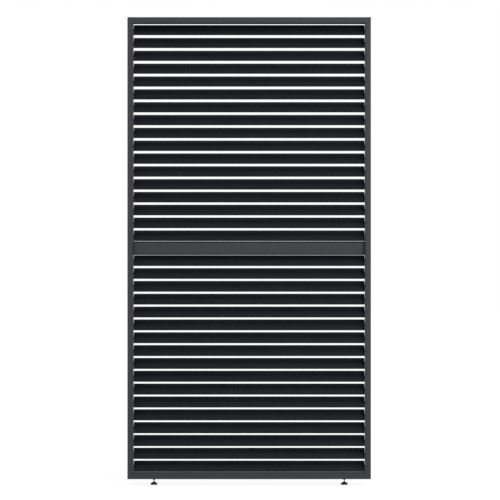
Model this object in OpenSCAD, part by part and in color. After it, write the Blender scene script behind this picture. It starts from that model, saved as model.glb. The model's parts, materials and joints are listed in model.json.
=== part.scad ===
// Rotating slat room divider: an aluminium frame on two levelling feet, with an upper and a lower bank
// of hollow slats. Each slat turns on pins in bushes in the stiles. Inside the left stile every slat
// carries a crank, and one link bar for each bank makes its slats turn together.
// X runs along the width, Y from front to back and Z up. The origin is on the floor, at the middle.

/* [Frame] */
// Overall width
frame_w = 1200; // [700:10:1600]
// Depth of the stiles and of the top and bottom rails, front to back
frame_d = 80; // [78:1:120]
// Width of a stile, seen from the front
stile_w = 27.5; // [25:0.5:40]
// Height of the top and bottom rails
rail_h = 27.5; // [25:0.5:40]
// Wall thickness of the stiles and rails
frame_wall = 2; // [1.5:0.1:3]
// Thickness of the plugs in the ends of the stiles
end_cap_t = 3; // [2:0.5:6]

/* [Stile covers] */
// Thickness of the strip that closes a stile's open side
cover_t = 2; // [1.5:0.1:3]
// Depth of the cover's two legs, which grip the stile's walls from inside
cover_leg_l = 5; // [3:0.5:8]
// Thickness of a leg
cover_leg_t = 2; // [1:0.1:3]

/* [Slats] */
// Number of slats in each of the two banks
slats_per_bank = 17; // [3:1:17]
// Distance between the axes of neighbouring slats
slat_pitch = 63.5; // [58:0.5:64.5]
// Width of a slat from one long edge to the other
slat_chord = 66; // [64.5:0.5:72]
// Thickness of a slat at its middle
slat_thick = 12; // [10:0.5:16]
// Thickness of a slat at its long edges
slat_edge = 2.4; // [1.6:0.1:3.6]
// Wall thickness of the hollow slat
slat_wall = 1.4; // [1:0.1:2]
// Depth of the solid nose behind each long edge
slat_nose = 4; // [3:0.5:8]
// Lean of the slats from upright as they stand, with the front edge low
slat_tilt = 38; // [4:1:90]
// Lean of the slats when they are shut
shut_tilt = 4; // [4:0.5:12]
// Gap between the end of a slat and the stile
slat_end_gap = 2; // [1.8:0.1:4]
// Gap between the edge of a shut slat and the rail next to it
tip_gap = 0.5; // [0.4:0.1:2]

/* [Slat end caps] */
// Thickness of the cap on the end of a slat
slat_cap_t = 2.5; // [1.5:0.1:5]
// Length of the cap's tongue inside the slat
tongue_l = 15; // [8:1:30]
// Width of the tongue, along the slat's chord
tongue_w = 30; // [20:1:40]

/* [Pivots] */
// Diameter of a slat's pivot pin
pivot_d = 8; // [6:0.5:9]
// Depth of the flat on the left pin's end, which carries the crank
pin_flat_cut = 1.2; // [0.8:0.1:1.6]
// Wall thickness of the bush round the pin
bush_wall = 2; // [1.5:0.1:3]
// Width of the bush's flange, beyond its body
bush_flange_w = 2; // [1:0.5:3]
// Thickness of the flange, between slat and stile
bush_flange_t = 1.2; // [0.8:0.1:1.5]
// Length of the bush that stands out inside the stile
bush_collar_l = 1.5; // [0.5:0.1:2.5]

/* [Slat linkage] */
// Distance from a slat's axis to its crank pin
crank_r = 15; // [13:0.5:18]
// Thickness of a crank
crank_t = 4; // [3:0.5:6]
// Radius of the crank round the pivot
crank_hub_r = 7.5; // [7:0.5:9]
// Radius of the crank round its pin
crank_eye_r = 4.5; // [4:0.5:6]
// Width of the crank's arm
crank_arm_w = 7; // [5:0.5:8]
// Diameter of the crank pin
crank_pin_d = 4; // [3:0.5:5]
// How far the head of the crank pin stands out round the pin
pin_head_w = 1; // [0.6:0.1:2]
// Thickness of that head
pin_head_t = 1.2; // [0.8:0.1:2]
// Width of a link bar
link_w = 10; // [9:0.5:14]
// Thickness of a link bar
link_t = 3; // [2:0.5:4]
// Length of a link bar beyond its last crank pins
link_end_l = 8; // [6:0.5:10]
// Width of the block that stops a link bar when the slats lie flat
stop_w = 8; // [6:0.5:9]
// Height of that block
stop_h = 14; // [10:1:24]

/* [Middle rail] */
// Height of the rail between the two banks, without its lips
middle_rail_h = 56; // [40:1:90]
// Depth of that rail, front to back
middle_rail_d = 40; // [30:1:76]
// Height of the lips that the shut slats close against
lip_h = 5.75; // [3:0.25:8]
// Thickness of the lips
lip_t = 2.4; // [1.6:0.1:4]
// Gap between a lip and a shut slat
lip_gap = 0.5; // [0.3:0.1:1.5]
// Thickness of the plate at each end of the middle rail
end_plate_t = 4; // [3:0.5:8]
// How far that plate stays inside the rail's outline
end_plate_inset = 1; // [0.5:0.5:3]

/* [Screws] */
// Diameter of the screws that hold the rails to the stiles
screw_d = 4.8; // [4:0.1:5.5]
// Length of their shanks
screw_l = 25; // [16:1:40]
// Width of their heads round the shank
screw_head_w = 2.2; // [1.5:0.1:3]
// Height of their heads
screw_head_h = 3; // [2:0.1:4]
// Wall round the ports that take them
port_wall = 2.2; // [1.5:0.1:3]
// Distance from the rail's front or back to its ports
port_inset = 15; // [12:0.5:18]
// Distance between the two ports of the middle rail
middle_port_gap = 28; // [16:1:30]
// Diameter of the screws that hold the link stops
stop_screw_d = 4; // [3:0.5:4]
// Width of their heads round the shank
stop_screw_head_w = 1.5; // [1:0.1:1.8]
// Height of their heads
stop_screw_head_h = 2.4; // [1.5:0.1:3]

/* [Feet] */
// Height of the frame's underside above the floor
foot_drop = 30; // [26:1:45]
// Distance from a foot's axis to the frame's end
foot_inset = 130; // [60:5:250]
// Diameter of a foot's pad
pad_d = 35; // [30:1:60]
// Height of the pad's upright rim, above the sole
pad_rim_h = 6; // [5:0.5:9]
// How far the foot of the cone stays inside the rim
pad_step = 2; // [0.5:0.5:4]
// Height of the cone above the rim
pad_cone_h = 7; // [5:0.5:11]
// Diameter of the cone's top
pad_top_d = 10; // [8:0.5:18]
// Thickness of the soft sole
sole_t = 2; // [1:0.5:2.5]
// How far the sole stays inside the pad
sole_inset = 0.5; // [0:0.1:2]
// Diameter of the hole in the middle of the ring-shaped sole
sole_hole_d = 9; // [6:0.5:9.5]
// Diameter of the foot's stud
stud_d = 6; // [5:0.5:8]
// Width of the stud's collar inside the pad, round the stud
collar_w = 3; // [2:0.5:4]
// Thickness of that collar
collar_t = 3; // [2:0.5:5]
// Room above the stud's end inside the bottom rail
stud_head_room = 3; // [1:0.5:6]
// Distance across the flats of the lock nut
locknut_af = 10; // [10:1:14]
// Height of the lock nut
locknut_h = 5; // [2:0.5:6]
// Wall thickness of the threaded insert
insert_wall = 2; // [1.5:0.1:3]
// Height of the insert above the frame's underside
insert_h = 12; // [6:1:16]
// Width of the insert's flange round its body
insert_flange_w = 2; // [1:0.5:3]
// Thickness of that flange
insert_flange_t = 1; // [0.6:0.1:1.5]

/* [Clearances] */
// Radial clearance of pins and studs that turn in a bore
running_fit = 0.08; // [0.05:0.01:0.1]
// Clearance of pieces that are pressed or screwed together
seat_fit = 0.05; // [0.03:0.01:0.1]
// Gap between faces that move past each other
slide_gap = 0.4; // [0.3:0.05:0.6]

/* [Hidden] */
$fn = 48;
blade_fn = 360;
// How far a cutter runs past the faces that it cuts
over = 1;
LOWER = 0;
UPPER = 1;
BANK_NAMES = ["lower", "upper"];
BOTH = [LOWER, UPPER];
SLATS = [1:slats_per_bank];

// Heights, from the floor up
bank_h = slats_per_bank * slat_pitch;
rail_gap = (slat_chord - slat_pitch) / 2 + tip_gap;
lower_bank_z = foot_drop + rail_h + rail_gap;
middle_rail_z = lower_bank_z + bank_h + rail_gap;
upper_bank_z = middle_rail_z + middle_rail_h + rail_gap;
top_rail_z = upper_bank_z + bank_h + rail_gap;
frame_top = top_rail_z + rail_h;
bank_z = [lower_bank_z, upper_bank_z];

// Places along X, measured outwards from the middle
inner_x = frame_w / 2 - stile_w;
web_x = inner_x + frame_wall;
slat_end_x = inner_x - slat_end_gap;
blade_x = slat_end_x - slat_cap_t;
crank_x = web_x + bush_collar_l + slide_gap;
link_x = crank_x + crank_t + slide_gap;
pin_head_x = link_x + link_t + slide_gap;
cover_x = frame_w / 2 - cover_t;
middle_rail_x = inner_x - end_plate_t;
foot_x = frame_w / 2 - foot_inset;

// The slat's two bowed faces are arcs of this radius
bow = (slat_thick - slat_edge) / 2;
bow_r = (pow(slat_chord / 2, 2) + pow(bow, 2)) / (2 * bow);
bow_offset = bow_r - slat_thick / 2;

// A crank points along its slat's chord, to the slat's upper edge
crank_y = crank_r * sin(slat_tilt);
crank_dz = crank_r * cos(slat_tilt);

bush_r = pivot_d / 2 + running_fit + bush_wall;
screw_r = screw_d / 2;
port_r = screw_r + seat_fit;
port_y = frame_d / 2 - port_inset;
link_stop_y = crank_r + link_w / 2 + slide_gap;
insert_r = stud_d / 2 + running_fit + insert_wall;
collar_r = stud_d / 2 + collar_w;

function slat_name(bank, i) = str("slat_", BANK_NAMES[bank], i < 10 ? "_0" : "_", i);
// Slat 1 is the top one of its bank
function pivot_z(bank, i) = bank_z[bank] + (slats_per_bank - i + 0.5) * slat_pitch;
// Half the slat's thickness at a distance s from its middle, along the chord
function half_thick(s) = sqrt(pow(bow_r, 2) - pow(s, 2)) - bow_offset;

// The near face of a lip stays clear of the shut slat's bowed face
lip_s = slat_chord / 2 + tip_gap - lip_h;
lip_y = half_thick(lip_s) * cos(shut_tilt) - lip_s * sin(shut_tilt) + lip_gap;

// Draws its children, made for the right side, on the left side too
module both_sides() {
    children();
    mirror([1, 0, 0]) children();
}

// Extrudes an outline drawn in Y and Z along X, from x on
module along_x(x, length) {
    translate([x, 0, 0]) rotate([90, 0, 90]) linear_extrude(length) children();
}

// A round bar or bore along X
module rod_x(x, length, r, y = 0, z = 0) {
    translate([x, y, z]) rotate([0, 90, 0]) cylinder(r = r, h = length);
}

// A screw along X whose head sits on the face at x, outside
module screw_x(x, length, r, head_w, head_h) {
    rod_x(x - length, length, r);
    rod_x(x, head_h, r + head_w);
}

// --- Frame ---

// Heights and depths of the screws that hold the rails, as [y, z]
rail_screw_places = [for (z = [foot_drop, top_rail_z]) for (y = [-port_y, port_y]) [y, z + rail_h / 2]];
middle_screw_places = [for (k = [-0.5, 0.5]) [0, middle_rail_z + middle_rail_h / 2 + k * middle_port_gap]];

// An aluminium channel, open to the outside, with a bore for each slat's bush
module stile() {
    difference() {
        translate([0, 0, foot_drop]) linear_extrude(frame_top - foot_drop) difference() {
            translate([inner_x, -frame_d / 2]) square([stile_w, frame_d]);
            translate([web_x, frame_wall - frame_d / 2]) square([stile_w, frame_d - 2 * frame_wall]);
        }
        for (bank = BOTH) for (i = SLATS)
            rod_x(inner_x - over, frame_wall + 2 * over, bush_r + seat_fit, z = pivot_z(bank, i));
        for (p = concat(rail_screw_places, middle_screw_places))
            rod_x(inner_x - over, frame_wall + 2 * over, screw_r + slide_gap, p.x, p.y);
    }
}

module left_stile() {
    color("#444446") difference() {
        mirror([1, 0, 0]) stile();
        for (bank = BOTH) mirror([1, 0, 0])
            rod_x(inner_x - over, frame_wall + 2 * over, stop_screw_d / 2 + seat_fit, link_stop_mid_y,
                link_stop_z(bank));
    }
}

module right_stile() {
    color("#444446") stile();
}

// A strip with two legs, pushed into the stile's open side
module stile_cover() {
    half = frame_d / 2 - frame_wall;
    translate([cover_x, -half, foot_drop]) cube([cover_t, 2 * half, frame_top - foot_drop]);
    leg_z = foot_drop + end_cap_t + slide_gap;
    for (y = [-half, half - cover_leg_t])
        translate([cover_x - cover_leg_l, y, leg_z])
            cube([cover_leg_l, cover_leg_t, frame_top - end_cap_t - slide_gap - leg_z]);
}

module left_stile_cover() {
    color("#414143") mirror([1, 0, 0]) stile_cover();
}

module right_stile_cover() {
    color("#414143") stile_cover();
}

// Plastic plugs that close the ends of the stiles
module stile_end_caps() {
    half = frame_d / 2 - frame_wall;
    color("#2a2a2c") both_sides() for (z = [foot_drop, frame_top - end_cap_t])
        translate([web_x, -half, z]) cube([cover_x - web_x, 2 * half, end_cap_t]);
}

// A rectangular tube with two ribs, each holding a screw port
module rail(z) {
    along_x(-inner_x, 2 * inner_x) translate([0, z]) difference() {
        union() {
            difference() {
                translate([-frame_d / 2, 0]) square([frame_d, rail_h]);
                translate([frame_wall - frame_d / 2, frame_wall])
                    square([frame_d - 2 * frame_wall, rail_h - 2 * frame_wall]);
            }
            for (y = [-port_y, port_y]) {
                translate([y - frame_wall / 2, frame_wall / 2]) square([frame_wall, rail_h - frame_wall]);
                translate([y, rail_h / 2]) circle(port_r + port_wall);
            }
        }
        for (y = [-port_y, port_y]) translate([y, rail_h / 2]) circle(port_r);
    }
}

module top_rail() {
    color("#49494c") rail(top_rail_z);
}

module bottom_rail() {
    color("#404244") difference() {
        rail(foot_drop);
        for (x = [-foot_x, foot_x]) translate([x, 0, foot_drop - over])
            cylinder(r = insert_r + seat_fit, h = frame_wall + 2 * over);
    }
}

// A tube with a lip behind the upper slats, a lip before the lower slats and a rib with two ports
module middle_rail() {
    mid = middle_rail_h / 2;
    color("#40444b") along_x(-middle_rail_x, 2 * middle_rail_x)
    translate([0, middle_rail_z + mid]) difference() {
        union() {
            difference() {
                square([middle_rail_d, middle_rail_h], center = true);
                square([middle_rail_d - 2 * frame_wall, middle_rail_h - 2 * frame_wall], center = true);
            }
            translate([lip_y, mid - frame_wall / 2]) square([lip_t, lip_h + frame_wall / 2]);
            translate([-lip_y - lip_t, -mid - lip_h]) square([lip_t, lip_h + frame_wall / 2]);
            square([frame_wall, middle_rail_h - frame_wall], center = true);
            for (k = [-0.5, 0.5]) translate([0, k * middle_port_gap]) circle(port_r + port_wall);
        }
        for (k = [-0.5, 0.5]) translate([0, k * middle_port_gap]) circle(port_r);
    }
}

// Dark plates between the middle rail and the stiles
module middle_rail_end_plates() {
    size = [middle_rail_d - 2 * end_plate_inset, middle_rail_h - 2 * end_plate_inset];
    color("#1c1c1e") both_sides() difference() {
        along_x(middle_rail_x, end_plate_t) translate([0, middle_rail_z + middle_rail_h / 2])
            square(size, center = true);
        for (p = middle_screw_places)
            rod_x(middle_rail_x - over, end_plate_t + 2 * over, screw_r + slide_gap, p.x, p.y);
    }
}

// Screws driven from inside the stiles into the rails' ports
module rail_screws() {
    color("silver") both_sides() for (p = rail_screw_places)
        translate([0, p.x, p.y]) screw_x(web_x, screw_l, screw_r, screw_head_w, screw_head_h);
}

module middle_rail_screws() {
    color("silver") both_sides() for (p = middle_screw_places)
        translate([0, p.x, p.y]) screw_x(web_x, screw_l + end_plate_t, screw_r, screw_head_w, screw_head_h);
}

// --- Slats and their pivots ---

// A flanged plastic bush, pressed into the stile's web
module pivot_bush() {
    difference() {
        union() {
            rod_x(inner_x - bush_flange_t, bush_flange_t, bush_r + bush_flange_w);
            rod_x(inner_x - bush_flange_t, bush_flange_t + frame_wall + bush_collar_l, bush_r);
        }
        rod_x(inner_x - slat_end_gap, slat_end_gap + frame_wall + bush_collar_l + over,
            pivot_d / 2 + running_fit);
    }
}

module pivot_bushes() {
    for (bank = BOTH) for (i = SLATS) translate([0, 0, pivot_z(bank, i)]) pivot_bush();
}

module left_pivot_bushes() {
    color("#1c1c1e") mirror([1, 0, 0]) pivot_bushes();
}

module right_pivot_bushes() {
    color("#1c1c1e") pivot_bushes();
}

// The slat's outline in Y and Z, its chord upright, drawn in by inset and cut to a length along the chord
module slat_outline(inset, length) {
    intersection() {
        translate([bow_offset, 0]) circle(bow_r - inset, $fn = blade_fn);
        translate([-bow_offset, 0]) circle(bow_r - inset, $fn = blade_fn);
        square([2 * slat_thick, length], center = true);
    }
}

// The hollow aluminium blade
module blade() {
    along_x(seat_fit - blade_x, 2 * (blade_x - seat_fit)) rotate(-slat_tilt) difference() {
        slat_outline(0, slat_chord);
        slat_outline(slat_wall, slat_chord - 2 * slat_nose);
    }
}

// The plastic cap on a slat's right end, with its tongue and a pivot pin that ends at pin_end
module slat_cap(pin_end) {
    along_x(blade_x, slat_cap_t) rotate(-slat_tilt) slat_outline(0, slat_chord);
    along_x(blade_x - tongue_l, tongue_l + slat_cap_t / 2) rotate(-slat_tilt)
        slat_outline(slat_wall + 2 * seat_fit, tongue_w);
    rod_x(blade_x, pin_end - blade_x, pivot_d / 2);
}

// Leaves the round pin with a flat on one side, over the length that carries the crank
module crank_flat(x, length, gap) {
    flat_y = pivot_d / 2 - pin_flat_cut + gap;
    along_x(x, length) rotate(-slat_tilt) translate([flat_y, -pivot_d]) square(2 * pivot_d);
}

// The crank on the pivot pin's flatted end, with its headed pin for the link bar
module crank() {
    difference() {
        along_x(crank_x, crank_t) rotate(-slat_tilt) {
            circle(crank_hub_r);
            translate([0, crank_r]) circle(crank_eye_r);
            translate([-crank_arm_w / 2, 0]) square([crank_arm_w, crank_r]);
        }
        difference() {
            rod_x(crank_x - over, crank_t + 2 * over, pivot_d / 2 + seat_fit);
            crank_flat(crank_x - 2 * over, crank_t + 4 * over, seat_fit);
        }
    }
    rod_x(crank_x + crank_t / 2, pin_head_x - crank_x - crank_t / 2, crank_pin_d / 2, crank_y, crank_dz);
    rod_x(pin_head_x, pin_head_t, crank_pin_d / 2 + pin_head_w, crank_y, crank_dz);
}

// One slat: blade, right cap, left cap with the flatted pin, and crank
module slat(bank, i) {
    color("#1a1c20") translate([0, 0, pivot_z(bank, i)]) {
        blade();
        slat_cap(web_x + bush_collar_l);
        mirror([1, 0, 0]) difference() {
            slat_cap(crank_x + crank_t);
            crank_flat(crank_x - seat_fit, crank_t + over, 0);
        }
        mirror([1, 0, 0]) crank();
    }
}

// --- Slat linkage, in the left stile ---

// A flat aluminium bar with a bore for each crank pin of its bank
module link_bar(bank) {
    low = pivot_z(bank, slats_per_bank) + crank_dz - link_end_l;
    high = pivot_z(bank, 1) + crank_dz + link_end_l;
    mirror([1, 0, 0]) difference() {
        translate([link_x, crank_y - link_w / 2, low]) cube([link_t, link_w, high - low]);
        for (i = SLATS)
            rod_x(link_x - over, link_t + 2 * over, crank_pin_d / 2 + running_fit, crank_y,
                pivot_z(bank, i) + crank_dz);
    }
}

module upper_link_bar() {
    color("silver") link_bar(UPPER);
}

module lower_link_bar() {
    color("silver") link_bar(LOWER);
}

// The stops stand halfway between the two slats at the middle of a bank
function link_stop_z(bank) = pivot_z(bank, ceil(slats_per_bank / 2)) - slat_pitch / 2;
link_stop_mid_y = link_stop_y + stop_w / 2;
link_stop_l = link_x + link_t - web_x;

// Blocks that a link bar meets when its slats lie flat
module link_stops() {
    color("#2a2a2c") for (bank = BOTH) mirror([1, 0, 0]) difference() {
        translate([web_x, link_stop_y, link_stop_z(bank) - stop_h / 2]) cube([link_stop_l, stop_w, stop_h]);
        rod_x(web_x - over, link_stop_l + 2 * over, stop_screw_d / 2 + seat_fit, link_stop_mid_y,
            link_stop_z(bank));
    }
}

module link_stop_screws() {
    color("silver") for (bank = BOTH) mirror([1, 0, 0])
        translate([0, link_stop_mid_y, link_stop_z(bank)])
            screw_x(web_x + link_stop_l, link_stop_l + frame_wall, stop_screw_d / 2, stop_screw_head_w,
                stop_screw_head_h);
}

// --- Feet ---

locknut_z = foot_drop - insert_flange_t - locknut_h;
stud_top = foot_drop + rail_h - frame_wall - stud_head_room;
pad_top = sole_t + pad_rim_h + pad_cone_h;

// A round piece upright on a foot's axis, from z on
module upright(z, h, r, top_r = undef) {
    translate([0, 0, z]) cylinder(r1 = r, r2 = is_undef(top_r) ? r : top_r, h = h);
}

// Threaded inserts in the bottom rail's underside
module foot_inserts() {
    color("silver") for (x = [-foot_x, foot_x]) translate([x, 0, 0]) difference() {
        union() {
            upright(foot_drop - insert_flange_t, insert_flange_t, insert_r + insert_flange_w);
            upright(foot_drop - insert_flange_t, insert_flange_t + insert_h, insert_r);
        }
        upright(foot_drop - insert_flange_t - over, insert_h + insert_flange_t + 2 * over,
            stud_d / 2 + running_fit);
    }
}

module foot_locknuts() {
    color("#202022") for (x = [-foot_x, foot_x]) translate([x, 0, locknut_z]) difference() {
        cylinder(d = locknut_af / cos(30), h = locknut_h, $fn = 6);
        translate([0, 0, -over]) cylinder(r = stud_d / 2 + running_fit, h = locknut_h + 2 * over);
    }
}

// The threaded stud, with a collar that the pad swivels on
module foot_stud(x) {
    color("silver") translate([x, 0, 0]) {
        upright(sole_t + slide_gap / 2, stud_top - sole_t - slide_gap / 2, stud_d / 2);
        upright(sole_t + slide_gap / 2, collar_t, collar_r);
    }
}

// The moulded pad: an upright rim, a cone and a pocket for the stud's collar
module foot_pad(x) {
    color("#151517") translate([x, 0, 0]) difference() {
        union() {
            upright(sole_t, pad_rim_h, pad_d / 2);
            upright(sole_t + pad_rim_h, pad_cone_h, pad_d / 2 - pad_step, pad_top_d / 2);
        }
        upright(sole_t - over, collar_t + slide_gap + over, collar_r + slide_gap);
        upright(sole_t - over, pad_top - sole_t + 2 * over, stud_d / 2 + running_fit);
    }
}

// A soft ring under the pad, which the stud's collar bears on
module foot_sole(x) {
    color("#5a5a5c") translate([x, 0, 0]) difference() {
        upright(0, sole_t, pad_d / 2 - sole_inset);
        upright(-over, sole_t + 2 * over, sole_hole_d / 2);
    }
}

module left_foot_stud() foot_stud(-foot_x);
module left_foot_pad() foot_pad(-foot_x);
module left_foot_sole() foot_sole(-foot_x);
module right_foot_stud() foot_stud(foot_x);
module right_foot_pad() foot_pad(foot_x);
module right_foot_sole() foot_sole(foot_x);

left_stile();
right_stile();
left_stile_cover();
right_stile_cover();
stile_end_caps();
top_rail();
bottom_rail();
middle_rail();
middle_rail_end_plates();
rail_screws();
middle_rail_screws();
left_pivot_bushes();
right_pivot_bushes();
upper_link_bar();
lower_link_bar();
link_stops();
link_stop_screws();
foot_inserts();
foot_locknuts();
left_foot_stud();
left_foot_pad();
left_foot_sole();
right_foot_stud();
right_foot_pad();
right_foot_sole();
for (bank = BOTH) for (i = SLATS)
    slat(bank, i);
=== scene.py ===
"""A rotating slat room divider: an anthracite aluminium frame with two banks of black slats, on two feet.
Lengths are in metres. X runs along the width, Y from front to back and Z up, from the floor's middle."""

import json
import math

import bmesh
import bpy
from mathutils import Matrix, Vector
from mathutils.geometry import delaunay_2d_cdt


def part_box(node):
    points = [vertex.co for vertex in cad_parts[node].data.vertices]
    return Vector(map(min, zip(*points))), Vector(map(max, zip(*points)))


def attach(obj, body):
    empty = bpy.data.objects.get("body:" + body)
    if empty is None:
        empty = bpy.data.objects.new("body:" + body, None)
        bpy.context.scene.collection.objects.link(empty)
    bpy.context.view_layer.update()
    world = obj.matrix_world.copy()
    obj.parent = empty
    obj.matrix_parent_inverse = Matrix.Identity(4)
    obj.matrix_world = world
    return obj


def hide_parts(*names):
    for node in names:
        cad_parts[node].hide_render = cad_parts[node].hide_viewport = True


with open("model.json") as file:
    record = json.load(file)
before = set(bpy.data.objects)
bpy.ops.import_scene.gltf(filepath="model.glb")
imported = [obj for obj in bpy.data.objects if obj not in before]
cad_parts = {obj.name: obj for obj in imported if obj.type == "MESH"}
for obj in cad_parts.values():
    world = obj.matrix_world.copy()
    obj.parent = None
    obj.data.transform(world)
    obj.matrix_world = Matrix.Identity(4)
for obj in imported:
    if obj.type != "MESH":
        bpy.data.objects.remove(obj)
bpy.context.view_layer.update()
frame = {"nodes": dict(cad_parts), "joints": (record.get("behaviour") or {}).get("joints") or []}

# --- Stiles ---
# Each upright side is an extruded aluminium channel, open to the outside. Its web has a bored seat for
# every slat's bush, and clearance holes for the screws that hold the rails. Saw-cut, deburred and powder
# coated.

WALL = 0.002
PROFILE_RADIUS = 0.0012
TIP_RADIUS = 0.0006
BUSH_SEAT_RADIUS = 0.00613
SCREW_HOLE_RADIUS = 0.0028
STOP_SCREW_HOLE_RADIUS = 0.00206
RAIL_PORT_Y = 0.025
MIDDLE_PORT_DZ = 0.014
STOP_SCREW_Y = 0.0244
ANTHRACITE = (0.0380, 0.0425, 0.0480)

SAME_POINT = 1e-7
ON_FACE = 1e-6
HOLES_LEFT_OPEN = 2
SHARP_DEGREES = 40
FURTHEST_SHIFT = 9.0
NOISE_LOW = 0.3
NOISE_HIGH = 0.7


def rounded(points, radii, steps=5):
    """A closed outline with its corners turned into arcs. radii is one number, or one for each corner."""
    if not hasattr(radii, "__len__"):
        radii = [radii] * len(points)
    outline = []
    for k, corner in enumerate(points):
        corner, radius = Vector(corner), radii[k]
        if radius == 0:
            outline.append(tuple(corner))
            continue
        back = (Vector(points[k - 1]) - corner).normalized()
        on = (Vector(points[(k + 1) % len(points)]) - corner).normalized()
        half = back.angle(on) / 2
        centre = corner + (back + on).normalized() * (radius / math.sin(half))
        first = corner + back * (radius / math.tan(half)) - centre
        last = corner + on * (radius / math.tan(half)) - centre
        turn = math.atan2(first.x * last.y - first.y * last.x, first.dot(last))
        for step in range(steps + 1):
            outline.append(tuple(centre + Matrix.Rotation(turn * step / steps, 2) @ first))
    return outline


def circle(radius, count, centre=(0.0, 0.0)):
    """A closed round outline."""
    turns = [math.tau * k / count for k in range(count)]
    return [(centre[0] + radius * math.cos(t), centre[1] + radius * math.sin(t)) for t in turns]


def channel(face, tips, back, half_width, radius, tip_radius):
    """A channel's outline, from the X of its web's face, of its legs' tips and of its web's back."""
    inside = half_width - WALL
    corners = [(face, -half_width), (tips, -half_width), (tips, -inside), (back, -inside)]
    corners += [(x, -y) for x, y in reversed(corners)]
    return rounded(corners, [radius, tip_radius, tip_radius, 0, 0, tip_radius, tip_radius, radius])


def in_scene(name, data):
    """A new object that shows this data."""
    made = bpy.data.objects.new(name, data)
    bpy.context.scene.collection.objects.link(made)
    return made


def mesh_object(name, points, faces):
    """A new object from points and faces, with its normals turned outwards."""
    mesh = bpy.data.meshes.new(name)
    mesh.from_pydata(points, [], faces)
    work = bmesh.new()
    work.from_mesh(mesh)
    bmesh.ops.remove_doubles(work, verts=work.verts, dist=SAME_POINT)
    bmesh.ops.recalc_face_normals(work, faces=work.faces)
    work.to_mesh(mesh)
    work.free()
    return in_scene(name, mesh)


def filled(loops):
    """Triangles that fill an outline around its hollows, numbered through all the loops' points."""
    points, rings = [], []
    for loop in loops:
        rings.append(list(range(len(points), len(points) + len(loop))))
        points += [Vector(point) for point in loop]
    made = delaunay_2d_cdt(points, [], rings, HOLES_LEFT_OPEN, SAME_POINT)
    triangles, origins = made[2], made[3]
    return [[origins[k][0] for k in triangle] for triangle in triangles]


def extrusion(name, loops, start, end, along="X"):
    """Outlines extruded along X (drawn in Y, Z) or Z (drawn in X, Y). Loops after the first are hollows."""
    flat = [p for loop in loops for p in loop]
    place = (lambda p, t: (t, p[0], p[1])) if along == "X" else (lambda p, t: (p[0], p[1], t))
    points = [place(p, t) for t in (start, end) for p in flat]
    count, faces, first = len(flat), [], 0
    for loop in loops:
        for k in range(len(loop)):
            a, b = first + k, first + (k + 1) % len(loop)
            faces.append((a, b, b + count, a + count))
        first += len(loop)
    if len(loops) == 1:
        faces += [tuple(range(count)), tuple(range(count, 2 * count))]
    else:
        for triangle in filled(loops):
            faces += [tuple(triangle), tuple(k + count for k in triangle)]
    return mesh_object(name, points, faces)


def bored(piece, holes, near, far, count=32):
    """Bores round holes along X between a piece's flat faces at near and far. A hole is (y, z, radius)."""
    work, rims = bmesh.new(), []
    work.from_mesh(piece.data)
    for x in (near, far):
        face, = [f for f in work.faces if all(abs(v.co.x - x) < ON_FACE for v in f.verts)]
        edge, rings = list(face.verts), []
        for y, z, radius in holes:
            rings.append([work.verts.new((x, *spot)) for spot in circle(radius, count, (y, z))])
        work.faces.remove(face)
        corners = edge + [corner for ring in rings for corner in ring]
        for triangle in filled([[v.co.yz for v in loop] for loop in [edge] + rings]):
            work.faces.new([corners[k] for k in triangle])
        rims.append(rings)
    for here, there in zip(*rims):
        for k in range(count):
            on = (k + 1) % count
            work.faces.new((here[k], here[on], there[on], there[k]))
    bmesh.ops.recalc_face_normals(work, faces=work.faces)
    work.to_mesh(piece.data)
    work.free()
    return piece


def applied(piece):
    """Makes the piece's modifiers part of its mesh."""
    graph = bpy.context.evaluated_depsgraph_get()
    old, piece.data = piece.data, bpy.data.meshes.new_from_object(piece.evaluated_get(graph))
    piece.modifiers.clear()
    bpy.data.meshes.remove(old)
    piece.data.name = piece.name
    return piece


def smoothed(piece, sharp_degrees=SHARP_DEGREES):
    """Rounded corners shade round and flat faces stay flat."""
    piece.data.shade_smooth()
    piece.data.set_sharp_from_angle(angle=math.radians(sharp_degrees))
    weighted = piece.modifiers.new("weighted normals", "WEIGHTED_NORMAL")
    weighted.keep_sharp = True
    return applied(piece)


def fitted(piece, finish, slot, body, *nodes):
    """Gives the piece its finish, sets it on its body, and lets it stand for its CAD nodes."""
    piece.data.materials.clear()
    piece.data.materials.append(finish)
    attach(piece, body)
    if nodes:
        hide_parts(*nodes)


def add(finish, kind, inputs=None, **settings):
    """Adds a shader node. Its inputs are values, or sockets of other nodes to link from."""
    node = finish.node_tree.nodes.new("ShaderNode" + kind)
    for name, value in settings.items():
        setattr(node, name, value)
    for name, value in (inputs or {}).items():
        if isinstance(value, bpy.types.NodeSocket):
            finish.node_tree.links.new(value, node.inputs[name])
        else:
            node.inputs[name].default_value = value
    return node


def new_finish(name, colour, roughness, metallic=0.0, specular=0.5):
    """A material with these constants on its shader. Its grain is in metres, and shifted on each piece."""
    finish = bpy.data.materials.new(name)
    finish.use_nodes = True
    shader = finish.node_tree.nodes["Principled BSDF"]
    shader.inputs["Base Color"].default_value = (*colour, 1)
    shader.inputs["Roughness"].default_value = roughness
    shader.inputs["Metallic"].default_value = metallic
    shader.inputs["Specular IOR Level"].default_value = specular
    own = add(finish, "ObjectInfo").outputs["Random"]
    shift = add(finish, "Math", {0: own, 1: FURTHEST_SHIFT}, operation="MULTIPLY").outputs[0]
    place = add(finish, "TexCoord").outputs["Object"]
    add(finish, "VectorMath", {0: place, 1: shift}, operation="ADD", name="place")
    return finish


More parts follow.
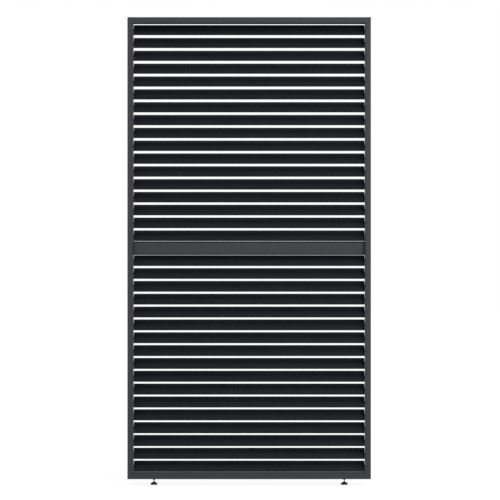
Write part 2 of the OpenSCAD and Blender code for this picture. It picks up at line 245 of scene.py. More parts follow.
def grain(finish, size, detail=2.0, stretch=(1, 1, 1)):
    """A noise with features of about that size, drawn out along an axis by stretch. It lies around 0.5."""
    scale = [1 / (size * s) for s in stretch]
    place = finish.node_tree.nodes["place"].outputs[0]
    scaled = add(finish, "Mapping", {"Vector": place, "Scale": scale})
    inputs = {"Vector": scaled.outputs[0], "Scale": 1.0, "Detail": detail}
    return add(finish, "TexNoise", inputs).outputs["Fac"]


def span(finish, noise, low, high):
    """Maps the range in which a noise mostly lies onto another range of numbers."""
    limits = {"From Min": NOISE_LOW, "From Max": NOISE_HIGH, "To Min": low, "To Max": high}
    return add(finish, "MapRange", {"Value": noise, **limits}).outputs["Result"]


def feed(finish, socket, value):
    """Links a value into one of the shader's sockets."""
    finish.node_tree.links.new(value, finish.node_tree.nodes["Principled BSDF"].inputs[socket])


def tinted(finish, colour, shade):
    """The colour, lighter and darker by a factor that varies over the surface."""
    scaled = add(finish, "VectorMath", {0: colour, "Scale": shade}, operation="SCALE")
    feed(finish, "Base Color", scaled.outputs[0])


def raised(finish, height, metres, above=None):
    """A bump of that many metres, from a height around 0.5. It may lie above another bump."""
    inputs = {"Height": height, "Distance": metres, "Strength": 1.0}
    if above is not None:
        inputs["Normal"] = above
    bump = add(finish, "Bump", inputs).outputs[0]
    feed(finish, "Normal", bump)
    return bump


def powder_coat(name, colour, roughness, specular):
    """Baked polyester powder: a fine sandy skin, faint clouds in its tone and a slightly uneven sheen."""
    finish = new_finish(name, colour, roughness, specular=specular)
    clouds = grain(finish, size=0.09, detail=3.0)
    tinted(finish, colour, span(finish, clouds, low=0.98, high=1.02))
    patches = grain(finish, size=0.02)
    feed(finish, "Roughness", span(finish, patches, low=roughness - 0.01, high=roughness + 0.01))
    peel = raised(finish, grain(finish, size=0.004), metres=0.00003)
    raised(finish, grain(finish, size=0.0006, detail=3.0), metres=0.00014, above=peel)
    return finish


def middle(node):
    """The middle of a CAD node."""
    low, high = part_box(node)
    return (low + high) / 2


slat_heights = {j["child"]: j["pos_m"][2] for j in frame["joints"] if j["child"].startswith("slat_")}
slat_pitch = slat_heights["slat_upper_01"] - slat_heights["slat_upper_02"]
frame_coat = powder_coat("anthracite_powder_coat", ANTHRACITE, roughness=0.72, specular=0.2)


def stile(side, name):
    """The channel on one side, -1 for left and 1 for right."""
    low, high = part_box(name)
    web_face, outer = (high.x, low.x) if side < 0 else (low.x, high.x)
    web_back = web_face + side * WALL
    outline = channel(web_face, outer, web_back, high.y, PROFILE_RADIUS, TIP_RADIUS)
    piece = extrusion(name + "_profile", [outline], low.z, high.z, along="Z")
    holes = [(0, z, BUSH_SEAT_RADIUS) for z in slat_heights.values()]
    for rail in ("top_rail", "bottom_rail"):
        holes += [(y, middle(rail).z, SCREW_HOLE_RADIUS) for y in (-RAIL_PORT_Y, RAIL_PORT_Y)]
    ends = middle("middle_rail_end_plates").z
    holes += [(0, ends + dz, SCREW_HOLE_RADIUS) for dz in (-MIDDLE_PORT_DZ, MIDDLE_PORT_DZ)]
    if side < 0:
        for bank in ("upper", "lower"):
            stop = slat_heights["slat_" + bank + "_09"] - slat_pitch / 2
            holes.append((STOP_SCREW_Y, stop, STOP_SCREW_HOLE_RADIUS))
    bored(piece, holes, web_face, web_back)
    fitted(smoothed(piece), frame_coat, "frame_aluminium", "frame", name)


stile(-1, "left_stile")
stile(1, "right_stile")

# --- Pivot bushes ---
# A flanged bush of black acetal sits in every seat of the stiles' webs and carries one end of a slat.
# Injection moulded and pressed in from the inside, so only the flange shows beside the slat's end.

BUSH_BORE_RADIUS = 0.00408
BUSH_RADIUS = 0.00608
BUSH_LENGTH = 0.0047
BUSH_FLANGE_RADIUS = 0.00808
BUSH_FLANGE = 0.0012
BUSH_CORNER_RADII = (0.0003, 0.0004, 0.0002, 0, 0.0004, 0.0003)
BUSH_BLACK = (0.0085, 0.0085, 0.0090)


def flanged(bore, radius, length, flange_radius, flange, corner_radii):
    """The section of a round flanged piece, as radii and heights above the flange's outer face."""
    section = [(bore, 0), (flange_radius, 0), (flange_radius, flange)]
    section += [(radius, flange), (radius, length), (bore, length)]
    return rounded(section, corner_radii, steps=3)


def around(count, size):
    """Faces between sections of that size, which stand in a ring of that count."""
    faces = []
    for turn in range(count):
        this, after = turn * size, (turn + 1) % count * size
        for k in range(size):
            on = (k + 1) % size
            faces.append((this + k, this + on, after + on, after + k))
    return faces


def turned(name, profile, places, along="Z", count=48):
    """A closed profile of radii and heights, turned about Z or X at each of the places, as one object."""
    points, faces, size = [], [], len(profile)
    for place in places:
        first = len(points)
        for turn in range(count):
            a, b = math.cos(math.tau * turn / count), math.sin(math.tau * turn / count)
            for radius, height in profile:
                ring = (radius * a, radius * b)
                spot = (*ring, height) if along == "Z" else (height, *ring)
                points.append(tuple(Vector(place) + Vector(spot)))
        for face in around(count, size):
            off_axis = profile[face[0] % size][0] or profile[face[1] % size][0]
            if off_axis:
                faces.append(tuple(first + k for k in face))
    return mesh_object(name, points, faces)


def moulded(name, colour, roughness, specular):
    """Moulded plastic: a fine spark-eroded skin, slow sink in its faces and a slightly uneven sheen."""
    finish = new_finish(name, colour, roughness, specular=specular)
    clouds = grain(finish, size=0.012, detail=3.0)
    tinted(finish, colour, span(finish, clouds, low=0.92, high=1.08))
    patches = grain(finish, size=0.006)
    feed(finish, "Roughness", span(finish, patches, low=roughness - 0.012, high=roughness + 0.012))
    sink = raised(finish, grain(finish, size=0.01), metres=0.00001)
    raised(finish, grain(finish, size=0.00035), metres=0.00002, above=sink)
    return finish


bush_plastic = moulded("black_acetal", BUSH_BLACK, roughness=0.38, specular=0.4)
bush = flanged(BUSH_BORE_RADIUS, BUSH_RADIUS, BUSH_LENGTH,
               BUSH_FLANGE_RADIUS, BUSH_FLANGE, BUSH_CORNER_RADII)

for side, hand in ((-1, "left"), (1, "right")):
    low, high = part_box(hand + "_stile")
    web_face = high.x if side < 0 else low.x
    node = hand + "_pivot_bushes"
    section = [(radius, side * (height - BUSH_FLANGE)) for radius, height in bush]
    places = [(web_face, 0, z) for z in slat_heights.values()]
    bushes = turned(node + "_set", section, places, along="X", count=36)
    fitted(smoothed(bushes), bush_plastic, "bush_plastic", "frame", node)

# --- Top and bottom rails ---
# Tubes extruded with two ribs, which hold round screw ports, and a low lip that the shut slats close
# against. Cut square, coated like the stiles and screwed between them. The bottom one is bored for the
# foot inserts.

PORT_BORE_RADIUS = 0.00245
PORT_RADIUS = 0.00465
PORT_STEPS = 12
LIP_NEAR = 0.001185
LIP_THICKNESS = 0.0024
LIP_FAR = LIP_NEAR + LIP_THICKNESS
LIP_RADIUS = 0.0008
LOW_LIP_HEIGHT = 0.0046
INSERT_SEAT_RADIUS = 0.00513
CUT_PAST = 0.001


def lipped(half_width, level, tip):
    """The front corner of a rail's lower face at this level, and the lip that hangs from it to its tip."""
    lip = [(-LIP_FAR, level), (-LIP_FAR, tip), (-LIP_NEAR, tip), (-LIP_NEAR, level)]
    return [(-half_width, level)] + lip


def port_side(face, port, heights):
    """One side of a hollow, from bottom to top, which swells round the screw ports at these heights."""
    points, side = [], 1 if face > port else -1
    reach = math.acos(abs(face - port) / PORT_RADIUS)
    for height in sorted(heights):
        for k in range(PORT_STEPS + 1):
            turn = reach * (2 * k / PORT_STEPS - 1)
            bulge = side * PORT_RADIUS * math.cos(turn)
            points.append((port + bulge, height + PORT_RADIUS * math.sin(turn)))
    return points


def hollow(left, right, low, high, ports_left=(), ports_right=()):
    """A hollow's outline, with the ports that its left and right sides hold, given as (y, heights)."""
    up = port_side(right, *ports_right) if ports_right else []
    down = port_side(left, *ports_left)[::-1] if ports_left else []
    return [(left, low), (right, low)] + up + [(right, high), (left, high)] + down


def cut(piece, cutter):
    """Takes the cutter's volume out of the piece and removes the cutter."""
    boolean = piece.modifiers.new("cut", "BOOLEAN")
    boolean.operation = "DIFFERENCE"
    boolean.solver = "EXACT"
    boolean.object = cutter
    applied(piece)
    bpy.data.objects.remove(cutter)


def rail(name, facing):
    """A rail with three hollows and two ports. Its lip hangs in front (facing 1) or stands behind (-1)."""
    low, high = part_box(name)
    mid, depth, y = (low.z + high.z) / 2, high.y, RAIL_PORT_Y
    half = mid - low.z
    block = lipped(depth, -half, -half - LOW_LIP_HEIGHT)
    block += [(depth, -half), (depth, half), (-depth, half)]
    bend, fillet = PROFILE_RADIUS, TIP_RADIUS
    bends = [bend, fillet, LIP_RADIUS, LIP_RADIUS, fillet, bend, bend, bend]
    near, far, rib = low.z + WALL, high.z - WALL, WALL / 2
    loops = [
        rounded([(facing * y, mid + facing * z) for y, z in block], bends),
        hollow(-depth + WALL, -y - rib, near, far, ports_right=(-y, [mid])),
        hollow(-y + rib, y - rib, near, far, ports_left=(-y, [mid]), ports_right=(y, [mid])),
        hollow(y + rib, depth - WALL, near, far, ports_left=(y, [mid])),
        circle(PORT_BORE_RADIUS, count=24, centre=(-y, mid)),
        circle(PORT_BORE_RADIUS, count=24, centre=(y, mid)),
    ]
    return extrusion(name + "_tube", loops, low.x, high.x)


fitted(smoothed(rail("top_rail", 1)), frame_coat, "frame_aluminium", "frame", "top_rail")

bottom = rail("bottom_rail", -1)
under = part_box("bottom_rail")[0].z
foot_x = {side: middle(side + "_foot_pad").x for side in ("left", "right")}
for x in foot_x.values():
    seat = circle(INSERT_SEAT_RADIUS, count=32, centre=(x, 0))
    cut(bottom, extrusion("cutter", [seat], under - CUT_PAST, under + WALL + CUT_PAST, along="Z"))
fitted(smoothed(bottom), frame_coat, "frame_aluminium", "frame", "bottom_rail")

# --- Middle rail ---
# A narrower tube with a rib that holds two screw ports. A lip stands up behind the lowest upper slat and
# another hangs down before the highest lower slat, so that the shut slats close against them.

LIP_HEIGHT = 0.00575

low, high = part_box("middle_rail")
depth, rib, mid = high.y, WALL / 2, (low.z + high.z) / 2
foot, head = low.z + LIP_HEIGHT, high.z - LIP_HEIGHT
outline = lipped(depth, foot, low.z) + [(depth, foot)]
outline += [(-y, 2 * mid - z) for y, z in outline]
bend, fillet = PROFILE_RADIUS, TIP_RADIUS
ports = (0, [mid - MIDDLE_PORT_DZ, mid + MIDDLE_PORT_DZ])
tube = extrusion("middle_rail_tube", [
    rounded(outline, [bend, fillet, LIP_RADIUS, LIP_RADIUS, fillet, bend] * 2),
    hollow(-depth + WALL, -rib, foot + WALL, head - WALL, ports_right=ports),
    hollow(rib, depth - WALL, foot + WALL, head - WALL, ports_left=ports),
    circle(PORT_BORE_RADIUS, count=24, centre=(0, mid - MIDDLE_PORT_DZ)),
    circle(PORT_BORE_RADIUS, count=24, centre=(0, mid + MIDDLE_PORT_DZ)),
], low.x, high.x)
fitted(smoothed(tube), frame_coat, "frame_aluminium", "frame", "middle_rail")

# --- Middle rail end plates ---
# Black moulded plates close the middle rail's ends and keep it off the stiles. They are a little smaller
# than the rail, so a dark joint shows at each end. The rail's screws pass through them.

PLATE_CORNER = 0.002
PLATE_EDGE = 0.0003
PLATE_INSET = 0.001
MOULDED_BLACK = (0.0105, 0.0105, 0.0112)


def softened(piece, width):
    """Breaks the piece's sharp edges, as its mould or a deburring tool leaves them."""
    bevel = piece.modifiers.new("edges", "BEVEL")
    bevel.width = width
    bevel.segments = 2
    bevel.limit_method = "ANGLE"
    bevel.angle_limit = math.radians(SHARP_DEGREES)
    return applied(piece)


def joined(name, pieces):
    """Makes several pieces one object."""
    work = bmesh.new()
    for piece in pieces:
        work.from_mesh(piece.data)
        bpy.data.objects.remove(piece)
    mesh = bpy.data.meshes.new(name)
    work.to_mesh(mesh)
    work.free()
    return in_scene(name, mesh)


black_plastic = moulded("black_moulded_plastic", MOULDED_BLACK, roughness=0.58, specular=0.2)
low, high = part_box("middle_rail_end_plates")
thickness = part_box("middle_rail")[0].x - low.x
half = (high.z - low.z) / 2
tip = half + PLATE_INSET + LIP_HEIGHT
corners = lipped(high.y, -half, -tip) + [(high.y, -half)]
corners = [(y, mid + z) for y, z in corners] + [(-y, mid - z) for y, z in corners]
bends = [PLATE_CORNER, 0, LIP_RADIUS, LIP_RADIUS, 0, PLATE_CORNER] * 2
holes = [(0, mid + dz, SCREW_HOLE_RADIUS) for dz in (-MIDDLE_PORT_DZ, MIDDLE_PORT_DZ)]
plates = []
for start in (low.x, high.x - thickness):
    plate = extrusion("plate", [rounded(corners, bends)], start, start + thickness)
    plates.append(bored(softened(plate, PLATE_EDGE), holes, start, start + thickness))
plates = joined("middle_rail_end_plate_pair", plates)
fitted(smoothed(plates), black_plastic, "black_plastic", "frame", "middle_rail_end_plates")

# --- Rail screws ---
# Zinc-plated thread-forming screws, driven through the stiles' webs from their open outer side into the
# rails' ports. They are hidden once the covers are on.

ZINC = (0.55, 0.56, 0.57)


def plated(name, colour, roughness):
    """Bright zinc on steel: a fine crystalline tone, and a sheen that handling has dulled in spots."""
    finish = new_finish(name, colour, roughness, metallic=1.0)
    crystals = grain(finish, size=0.003, detail=4.0)
    tinted(finish, colour, span(finish, crystals, low=0.82, high=1.08))
    spots = grain(finish, size=0.0015, detail=3.0)
    feed(finish, "Roughness", span(finish, spots, low=roughness - 0.10, high=roughness + 0.12))
    raised(finish, grain(finish, size=0.0004), metres=0.00001)
    return finish


def dressed(node, finish):
    """A CAD node that is shown as it is, in its finish."""
    frame["nodes"][node].data.materials.clear()
    frame["nodes"][node].data.materials.append(finish)


zinc = plated("zinc_plated_steel", ZINC, roughness=0.34)
dressed("rail_screws", zinc)
dressed("middle_rail_screws", zinc)

# --- Slat blades ---
# Hollow lens-shaped aluminium extrusions with blunt rounded edges, coated near-black with a satin sheen.
# Each hangs on its two end pivots, tilted 38 degrees with its lower edge to the front.

TILT = math.radians(38)
HALF_CHORD = 0.033
BOW_RADIUS = 0.11584
BOW_OFFSET = 0.10984
SLAT_WALL = 0.0014
HOLLOW_HALF_CHORD = 0.029
EDGE_RADIUS = 0.0003
BLADE_END_X = 0.56795
SLAT_BLACK = (0.0062, 0.0075, 0.0102)


def bowed(half_chord, inset, steps=16):
    """A slat's outline across its thickness and along its chord: two shallow arcs that meet blunt edges."""
    arc = []
    for k in range(steps + 1):
        along = half_chord * (2 * k / steps - 1)
        arc.append((math.sqrt((BOW_RADIUS - inset) ** 2 - along ** 2) - BOW_OFFSET, along))
    return arc + [(-thick, along) for thick, along in reversed(arc)]


def blunted(outline, radius):
    """The outline with its four edge corners rounded."""
    half = len(outline) // 2
    corners = (0, half - 1, half, len(outline) - 1)
    return rounded(outline, [radius if k in corners else 0 for k in range(len(outline))], steps=6)


def leaned(points):
    """Turns an outline from upright to the slats' tilt at rest."""
    c, s = math.cos(TILT), math.sin(TILT)
    return [(thick * c + along * s, along * c - thick * s) for thick, along in points]


def satin_black(name, colour, roughness, specular):
    """A satin coat on an extrusion: fine draw lines along it, soft orange peel and a slight unevenness."""
    finish = new_finish(name, colour, roughness, specular=specular)
    clouds = grain(finish, size=0.05, detail=3.0, stretch=(6, 1, 1))
    tinted(finish, colour, span(finish, clouds, low=0.90, high=1.10))
    streaks = grain(finish, size=0.015, stretch=(8, 1, 1))
    feed(finish, "Roughness", span(finish, streaks, low=roughness - 0.05, high=roughness + 0.05))
    lines = raised(finish, grain(finish, size=0.0012, stretch=(120, 1, 1)), metres=0.00001)
    raised(finish, grain(finish, size=0.0007, detail=3.0), metres=0.00002, above=lines)
    return finish


slat_coat = satin_black("satin_black_coat", SLAT_BLACK, roughness=0.42, specular=0.12)
slat_outline = leaned(blunted(bowed(HALF_CHORD, inset=0), EDGE_RADIUS))
slat_hollow = leaned(bowed(HOLLOW_HALF_CHORD, inset=SLAT_WALL))
blade = extrusion("slat_blade", [slat_outline, slat_hollow], -BLADE_END_X, BLADE_END_X)
smoothed(blade, sharp_degrees=30)


def one_for_each_slat(pattern, part, finish, slot, stands_for_slat=False):
    """Puts a copy of a part on every slat's axis, all with the same mesh, and removes the pattern."""
    for name, height in slat_heights.items():
        piece = in_scene(name + "_" + part, pattern.data)
        piece.location.z = height
        nodes = [name] if stands_for_slat else []
        fitted(piece, finish, slot, name, *nodes)
    bpy.data.objects.remove(pattern)


one_for_each_slat(blade, "blade", slat_coat, "slat_aluminium", stands_for_slat=True)

# --- Slat end caps ---
# A black moulded cap closes each end of a slat. It has a tongue inside the blade and a round pivot pin
# that turns in the bush. The left pin is longer and has a flat, where the crank sits.

CAP_X = 0.568
CAP_THICKNESS = 0.0025
CAP_EDGE = 0.0002
TONGUE_LENGTH = 0.015
TONGUE_HALF_CHORD = 0.015
TONGUE_CLEARANCE = 0.0001
PIN_RADIUS = 0.004
PIN_CHAMFER = 0.0005
PIN_FLAT = 0.0028
RIGHT_PIN_END = 0.576
CRANK_X = 0.5764
CRANK_THICKNESS = 0.004
CRANK_CLEARANCE = 0.00005
FLAT_CUTTER = 0.01


def slat_cap(side, pin_end):
    """The cap at one end, -1 for left and 1 for right, made about the slat's axis."""
    start, end = sorted((side * CAP_X, side * (CAP_X + CAP_THICKNESS)))
    cap = softened(extrusion("plate", [slat_outline], start, end), CAP_EDGE)
    root = CAP_X + CAP_THICKNESS / 2
    start, end = sorted((side * (CAP_X - TONGUE_LENGTH), side * root))
    section = leaned(bowed(TONGUE_HALF_CHORD, inset=SLAT_WALL + TONGUE_CLEARANCE, steps=8))
    tongue = extrusion("tongue", [section], start, end)
    bar = [(0, root), (PIN_RADIUS, root), (PIN_RADIUS, pin_end - PIN_CHAMFER)]
    bar += [(PIN_RADIUS - PIN_CHAMFER, pin_end), (0, pin_end)]
    bar = [(radius, side * height) for radius, height in bar]
    pin = turned("pin", bar, [(0, 0, 0)], along="X", count=32)
    if side < 0:
        wide, far = FLAT_CUTTER, 2 * FLAT_CUTTER
        block = leaned([(PIN_FLAT, -wide), (far, -wide), (far, wide), (PIN_FLAT, wide)])
        cut(pin, extrusion("cutter", [block], -CRANK_X - FLAT_CUTTER, -CRANK_X + CRANK_CLEARANCE))
    return [cap, tongue, pin]


cap_plastic = moulded("slat_cap_plastic", MOULDED_BLACK, roughness=0.42, specular=0.35)
caps = joined("caps", slat_cap(1, RIGHT_PIN_END) + slat_cap(-1, CRANK_X + CRANK_THICKNESS))
one_for_each_slat(smoothed(caps, sharp_degrees=30), "caps", cap_plastic, "black_plastic")

# --- Cranks ---
# Inside the left stile a moulded crank sits on the flat of each slat's left pin. Its own headed pin
# carries the link bar, so that all slats of a bank turn together.

CRANK_RADIUS = 0.015
HUB_RADIUS = 0.0075
EYE_RADIUS = 0.0045
HALF_ARM = 0.0035
CRANK_PIN_RADIUS = 0.002
PIN_HEAD_RADIUS = 0.003
PIN_HEAD_X = 0.5842
PIN_HEAD = 0.0012
PIN_HEAD_CHAMFER = 0.0004


def arc(centre, radius, start, end, steps=24):
    """Points on an arc between two angles in degrees, along the chord's direction at 90."""
    turns = [math.radians(start + (end - start) * k / steps) for k in range(steps + 1)]
    return [(radius * math.cos(t), centre + radius * math.sin(t)) for t in turns]


hub_turn = math.degrees(math.acos(HALF_ARM / HUB_RADIUS))
eye_turn = math.degrees(math.acos(HALF_ARM / EYE_RADIUS))
arm = arc(CRANK_RADIUS, EYE_RADIUS, -eye_turn, 180 + eye_turn)
arm += arc(0, HUB_RADIUS, 180 - hub_turn, 360 + hub_turn)
seat = PIN_RADIUS + CRANK_CLEARANCE
flat_turn = math.degrees(math.acos((PIN_FLAT + CRANK_CLEARANCE) / seat))
bore = arc(0, seat, flat_turn, 360 - flat_turn)
lever = extrusion("lever", [leaned(arm), leaned(bore)], -CRANK_X - CRANK_THICKNESS, -CRANK_X)
root, head = -CRANK_X - CRANK_THICKNESS / 2, -PIN_HEAD_X
end, narrow = head - PIN_HEAD, PIN_HEAD_RADIUS - PIN_HEAD_CHAMFER
stem = [(0, root), (CRANK_PIN_RADIUS, root), (CRANK_PIN_RADIUS, head), (PIN_HEAD_RADIUS, head)]
stem += [(PIN_HEAD_RADIUS, end + PIN_HEAD_CHAMFER), (narrow, end), (0, end)]
(pin_y, pin_z), = leaned([(0, CRANK_RADIUS)])
crank_pin = turned("crank_pin", stem, [(0, pin_y, pin_z)], along="X", count=24)
crank = joined("crank", [lever, crank_pin])
one_for_each_slat(smoothed(crank), "crank", cap_plastic, "black_plastic")

# --- Link bars ---
# A flat mill-finish aluminium bar joins the crank pins of each bank, inside the left stile. Sawn from
# drawn strip, bored for 17 pins and left uncoated.

BARE_ALUMINIUM = (0.62, 0.63, 0.64)

bare_aluminium = new_finish("mill_aluminium", BARE_ALUMINIUM, roughness=0.36, metallic=1.0)
streaks = grain(bare_aluminium, size=0.004, detail=3.0, stretch=(1, 1, 40))
tinted(bare_aluminium, BARE_ALUMINIUM, span(bare_aluminium, streaks, low=0.85, high=1.08))
marks = grain(bare_aluminium, size=0.0008, detail=3.0, stretch=(1, 1, 60))
feed(bare_aluminium, "Roughness", span(bare_aluminium, marks, low=0.26, high=0.50))
raised(bare_aluminium, grain(bare_aluminium, size=0.0005, stretch=(1, 1, 80)), metres=0.00001)
dressed("upper_link_bar", bare_aluminium)
dressed("lower_link_bar", bare_aluminium)

# --- Link stops ---
# One black moulded block for each bank, screwed to the left stile's web. The link bar meets it when the
# slats lie flat.

dressed("link_stops", black_plastic)
dressed("link_stop_screws", zinc)

# --- Stile end caps ---
# Black injection-moulded plugs close the open ends of both stiles. Each is pressed in flush with the
# saw-cut end, and its edges are softly broken.

PLUG_HEIGHT = 0.003
PLUG_CORNER = 0.0005
PLUG_EDGE = 0.0003

low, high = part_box("stile_end_caps")
web_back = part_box("right_stile")[0].x + WALL
plugs = []
for side in (-1, 1):
    left, right = sorted((side * web_back, side * high.x))
    corners = [(left, low.y), (right, low.y), (right, high.y), (left, high.y)]
    outline = rounded(corners, PLUG_CORNER, steps=3)
    for start in (low.z, high.z - PLUG_HEIGHT):
        plug = extrusion("plug", [outline], start, start + PLUG_HEIGHT, along="Z")
        plugs.append(softened(plug, PLUG_EDGE))
plugs = joined("stile_end_cap_set", plugs)
fitted(smoothed(plugs), black_plastic, "black_plastic", "frame", "stile_end_caps")

# --- Stile covers ---
# A flat aluminium strip with two legs closes the open side of each stile. The legs grip the stile's walls
# from inside, and a fine joint shows along both long edges. Coated with the stiles.

COVER_THICKNESS = 0.002
COVER_LEG = 0.005
COVER_JOINT = 0.00012
LEG_START = 0.0034
LEG_CUTTER_DEPTH = 0.02
LEG_CUTTER_HALF_WIDTH = 0.05


def stile_cover(side, name):
    """The strip on one side. Its legs stop short of the end caps."""
    low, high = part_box(name)
    outer = low.x if side < 0 else high.x
    back = outer - side * COVER_THICKNESS
    deep = back - side * COVER_LEG
    outline = channel(outer, deep, back, high.y - COVER_JOINT, TIP_RADIUS, TIP_RADIUS / 2)
    piece = extrusion(name + "_strip", [outline], low.z, high.z, along="Z")
    past = back - side * LEG_CUTTER_DEPTH
    wide = LEG_CUTTER_HALF_WIDTH
    for z in (low.z, high.z):
        block = [(back, -wide), (back, wide), (past, wide), (past, -wide)]
        cut(piece, extrusion("cutter", [block], z - LEG_START, z + LEG_START, along="Z"))
    fitted(smoothed(piece), frame_coat, "frame_aluminium", "frame", name)


stile_cover(-1, "left_stile_cover")
stile_cover(1, "right_stile_cover")

# --- Foot inserts ---
# Flanged rivet nuts of zinc-plated steel, set in the bottom rail's underside and drawn tight on its wall.
# The feet's studs screw into them.

STUD_BORE_RADIUS = 0.00308
INSERT_RADIUS = 0.00508
INSERT_HEIGHT = 0.013
INSERT_FLANGE_RADIUS = 0.00708
INSERT_FLANGE = 0.001
INSERT_CORNER_RADII = (0.0002, 0.0003, 0.0002, 0, 0.0003, 0.0002)

insert = flanged(STUD_BORE_RADIUS, INSERT_RADIUS, INSERT_HEIGHT,
                 INSERT_FLANGE_RADIUS, INSERT_FLANGE, INSERT_CORNER_RADII)
inserts = turned("foot_insert_pair", insert, [(x, 0, under - INSERT_FLANGE) for x in foot_x.values()])
fitted(smoothed(inserts), zinc, "zinc_steel", "frame", "foot_inserts")

# --- Foot lock nuts ---
# A blackened hexagon nut on each stud, turned up against the insert to lock the foot's height. Its
# corners are chamfered at both ends.

NUT_HALF_WIDTH = 0.005
NUT_END_RADIUS = 0.00475
NUT_CHAMFER_SLOPE = math.tan(math.radians(30))
THREAD_LEAD = 0.0003
BLACKENED_STEEL = (0.030, 0.030, 0.032)

black_steel = new_finish("blackened_steel", BLACKENED_STEEL, roughness=0.42, metallic=0.35)
stains = grain(black_steel, size=0.002, detail=4.0)
tinted(black_steel, BLACKENED_STEEL, span(black_steel, stains, low=0.7, high=1.3))
spots = grain(black_steel, size=0.001, detail=3.0)
feed(black_steel, "Roughness", span(black_steel, spots, low=0.32, high=0.55))
raised(black_steel, grain(black_steel, size=0.0004), metres=0.00001)


def hexagon_nut(name, x, low, high, steps=8):
    """A nut about an upright axis at x. A cone turned on each end bevels the corners, most at their tips."""
    points = []
    lead = STUD_BORE_RADIUS + THREAD_LEAD
    for turn in range(6 * steps):
        along = math.radians(60 * turn / steps)
        side = NUT_HALF_WIDTH / math.cos(math.radians(60 * (turn % steps) / steps - 30))
        fall = (side - NUT_END_RADIUS) * NUT_CHAMFER_SLOPE
        section = [(STUD_BORE_RADIUS, low + THREAD_LEAD), (lead, low), (NUT_END_RADIUS, low)]
        section += [(side, low + fall), (side, high - fall)]
        section += [(NUT_END_RADIUS, high), (lead, high), (STUD_BORE_RADIUS, high - THREAD_LEAD)]
        points += [(x + r * math.cos(along), r * math.sin(along), z) for r, z in section]
    return mesh_object(name, points, around(6 * steps, len(section)))


low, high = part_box("foot_locknuts")
nuts = joined("foot_locknut_pair", [hexagon_nut("nut", x, low.z, high.z) for x in foot_x.values()])
fitted(smoothed(nuts, sharp_degrees=20), black_steel, "black_steel", "frame", "foot_locknuts")

# --- Foot studs ---
# Zinc-plated M6 studs with a rolled thread. A round collar at the lower end is held in the pad, which
# swivels on it.

STUD_RADIUS = 0.003
THREAD_PITCH = 0.001
THREAD_DEPTH = 0.00055
THREAD_ROWS = 8
FLANK_SLOPE = 2.5
RUN_OUT_ROWS = 6
COLLAR_RADIUS = 0.006
COLLAR_HEIGHT = 0.003
COLLAR_EDGE = 0.0003


def threaded(name, x, low, high, count=24):
    """A round bar with a screw thread, upright at x. Its ends run out to the thread's root."""
    points = []
    rows = round((high - low) / THREAD_PITCH * THREAD_ROWS)
    for row in range(rows + 1):
        z = low + (high - low) * row / rows
        end = min(1.0, min(row, rows - row) / RUN_OUT_ROWS)
        for k in range(count):
            phase = (z / THREAD_PITCH - k / count) % 1.0
            crest = min(1.0, FLANK_SLOPE * (0.5 - abs(phase - 0.5))) * end
            radius = STUD_RADIUS - THREAD_DEPTH * (1 - crest)
            turn = math.tau * k / count
            points.append((x + radius * math.cos(turn), radius * math.sin(turn), z))
    faces = [tuple(range(count)), tuple(range(rows * count, (rows + 1) * count))]
    for row in range(rows):
        for k in range(count):
            a, b = row * count + k, row * count + (k + 1) % count
            faces.append((a, b, b + count, a + count))
    return mesh_object(name, points, faces)


for side, x in foot_x.items():
    node = side + "_foot_stud"
    low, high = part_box(node)
    top = low.z + COLLAR_HEIGHT
    ring = [(0, low.z), (COLLAR_RADIUS, low.z), (COLLAR_RADIUS, top), (0, top)]
    ring = rounded(ring, [0, COLLAR_EDGE, COLLAR_EDGE, 0], steps=3)
    collar = turned("collar", ring, [(x, 0, 0)], count=40)
    rod = threaded("rod", x, low.z + COLLAR_HEIGHT / 2, high.z)
    stud = joined(node + "_thread", [collar, rod])
    fitted(smoothed(stud, sharp_degrees=50), zinc, "zinc_steel", node, node)

# --- Foot pads ---
# Round black nylon pads with an upright rim and a low cone, snapped over the studs' collars so that they
# swivel. Injection moulded in a polished mould, so they are glossier than the other black plastic.

PAD_RADIUS = 0.0175
PAD_RIM_TOP = 0.008
PAD_SHOULDER_RADIUS = 0.0155
PAD_TOP_RADIUS = 0.005
PAD_CORNER_RADII = (0.0003, 0.0006, 0.0009, 0.0008, 0.0012, 0.0003, 0.0002, 0.0002)
POCKET_RADIUS = 0.0064
POCKET_TOP = 0.0054
PAD_BLACK = (0.0085, 0.0085, 0.0091)

pad_plastic = moulded("black_nylon", PAD_BLACK, roughness=0.34, specular=0.35)
for side, x in foot_x.items():
    node = side + "_foot_pad"
    low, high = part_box(node)
    bell = [(POCKET_RADIUS, low.z), (PAD_RADIUS, low.z), (PAD_RADIUS, PAD_RIM_TOP)]
    bell += [(PAD_SHOULDER_RADIUS, PAD_RIM_TOP), (PAD_TOP_RADIUS, high.z), (STUD_BORE_RADIUS, high.z)]
    bell += [(STUD_BORE_RADIUS, POCKET_TOP), (POCKET_RADIUS, POCKET_TOP)]
    bell = rounded(bell, PAD_CORNER_RADII)
    pad = turned(node + "_bell", bell, [(x, 0, 0)], count=64)
    fitted(smoothed(pad), pad_plastic, "foot_plastic", node, node)

# --- Foot soles ---
# A soft grey rubber ring, moulded flat and glued into the underside of each pad. It keeps the divider
# from slipping and spares the floor.

SOLE_RADIUS = 0.017
SOLE_HOLE_RADIUS = 0.0045
SOLE_HEIGHT = 0.002
SOLE_CORNER_RADII = (0.0003, 0.0005, 0.0002, 0.0002)
RUBBER_GREY = (0.060, 0.060, 0.062)

rubber = new_finish("grey_rubber", RUBBER_GREY, roughness=0.8, specular=0.3)
stains = grain(rubber, size=0.003, detail=4.0)
tinted(rubber, RUBBER_GREY, span(rubber, stains, low=0.8, high=1.2))
feed(rubber, "Roughness", span(rubber, grain(rubber, size=0.004), low=0.7, high=0.9))
raised(rubber, grain(rubber, size=0.0006, detail=3.0), metres=0.00008)

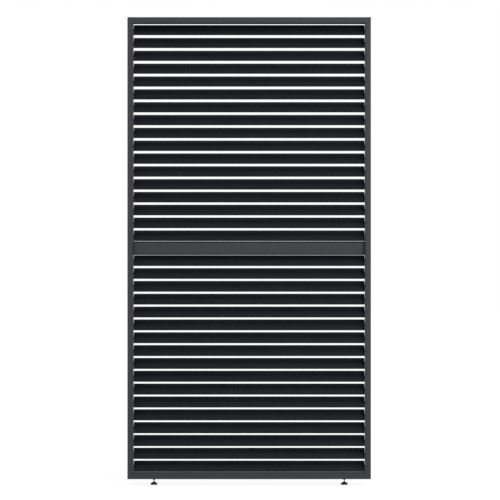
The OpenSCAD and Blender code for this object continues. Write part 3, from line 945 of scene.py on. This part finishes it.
ring = [(SOLE_HOLE_RADIUS, 0), (SOLE_RADIUS, 0)]
ring += [(SOLE_RADIUS, SOLE_HEIGHT), (SOLE_HOLE_RADIUS, SOLE_HEIGHT)]
ring = rounded(ring, SOLE_CORNER_RADII, steps=3)
for side, x in foot_x.items():
    sole = turned(side + "_foot_sole_ring", ring, [(x, 0, 0)], count=64)
    fitted(smoothed(sole), rubber, "sole_rubber", side + "_foot_pad", side + "_foot_sole")

# --- Floor, light and camera ---
# A plain white floor that keeps the soft shadow of the feet, an even white surround, and one large soft
# lamp to the right. The camera stands about 14 m in front, level with the middle of the divider.

FLOOR_RADIUS = 40.0
FLOOR_WHITE = (0.70, 0.70, 0.70)
FLOOR_SHADE = 0.4
FLOOR_GLOW = 0.80
SURROUND_LEVEL = 1.10
SURROUND_OVERHEAD = 0.50
WHITE = (1, 1, 1, 1)
LAMP_PLACE = (2.8, -3.6, 3.0)
LAMP_TARGET = (0, 0, 1.1)
LAMP_SIZE = 2.2
LAMP_WATTS = 120.0
CAMERA_PLACE = (0.0042, -13.94, 1.1595)
LENS_MM = 203.1
SENSOR_MM = 36.0
FURTHEST_SEEN = 100.0


def seen(finish):
    """1 for what the camera sees, also mirrored or through glass, and 0 for light that falls on things."""
    ray = add(finish, "LightPath").outputs
    level = {0: ray["Is Camera Ray"], 1: ray["Is Glossy Ray"]}
    level = {0: add(finish, "Math", level, operation="MAXIMUM").outputs[0], 1: ray["Is Transmission Ray"]}
    return add(finish, "Math", level, operation="MAXIMUM").outputs[0]


floor_finish = new_finish("white_floor", FLOOR_WHITE, roughness=0.9, specular=0.1)
floor_finish.node_tree.nodes["Principled BSDF"].inputs["Emission Color"].default_value = WHITE
floor_seen = seen(floor_finish)
clouds = span(floor_finish, grain(floor_finish, size=0.4, detail=3.0), low=0.99, high=1.01)
shade = add(floor_finish, "MapRange", {"Value": floor_seen, "To Min": 1.0, "To Max": FLOOR_SHADE})
shade = add(floor_finish, "Math", {0: clouds, 1: shade.outputs["Result"]}, operation="MULTIPLY")
tinted(floor_finish, FLOOR_WHITE, shade.outputs[0])
glow = add(floor_finish, "Math", {0: floor_seen, 1: FLOOR_GLOW}, operation="MULTIPLY")
feed(floor_finish, "Emission Strength", glow.outputs[0])
rim = [(x, y, 0) for x, y in circle(FLOOR_RADIUS, count=96)]
floor = mesh_object("floor", rim, [tuple(range(len(rim)))])
floor.data.materials.append(floor_finish)

world = bpy.data.worlds.new("white_surround")
world.use_nodes = True
bpy.context.scene.world = world
background = world.node_tree.nodes["Background"]
up = add(world, "SeparateXYZ", {"Vector": add(world, "TexCoord").outputs["Generated"]}).outputs["Z"]
soft = add(world, "MapRange", {"Value": up, "To Min": SURROUND_LEVEL, "To Max": SURROUND_OVERHEAD})
level = {"Value": seen(world), "To Min": soft.outputs["Result"], "To Max": 1.0}
strength = add(world, "MapRange", level).outputs["Result"]
background.inputs["Color"].default_value = WHITE
world.node_tree.links.new(strength, background.inputs["Strength"])

light = bpy.data.lights.new("soft_lamp", "AREA")
light.shape = "DISK"
light.size = LAMP_SIZE
light.energy = LAMP_WATTS
lamp = in_scene("soft_lamp", light)
lamp.location = LAMP_PLACE
lamp.rotation_euler = (Vector(LAMP_TARGET) - lamp.location).to_track_quat("-Z", "Y").to_euler()

view = bpy.data.cameras.new("camera")
view.lens = LENS_MM
view.sensor_width = SENSOR_MM
view.clip_end = FURTHEST_SEEN
camera = in_scene("camera", view)
camera.location = CAMERA_PLACE
camera.rotation_euler = (math.pi / 2, 0, 0)
bpy.context.scene.camera = camera
bpy.context.scene.view_settings.view_transform = "Standard"

bpy.context.view_layer.update()
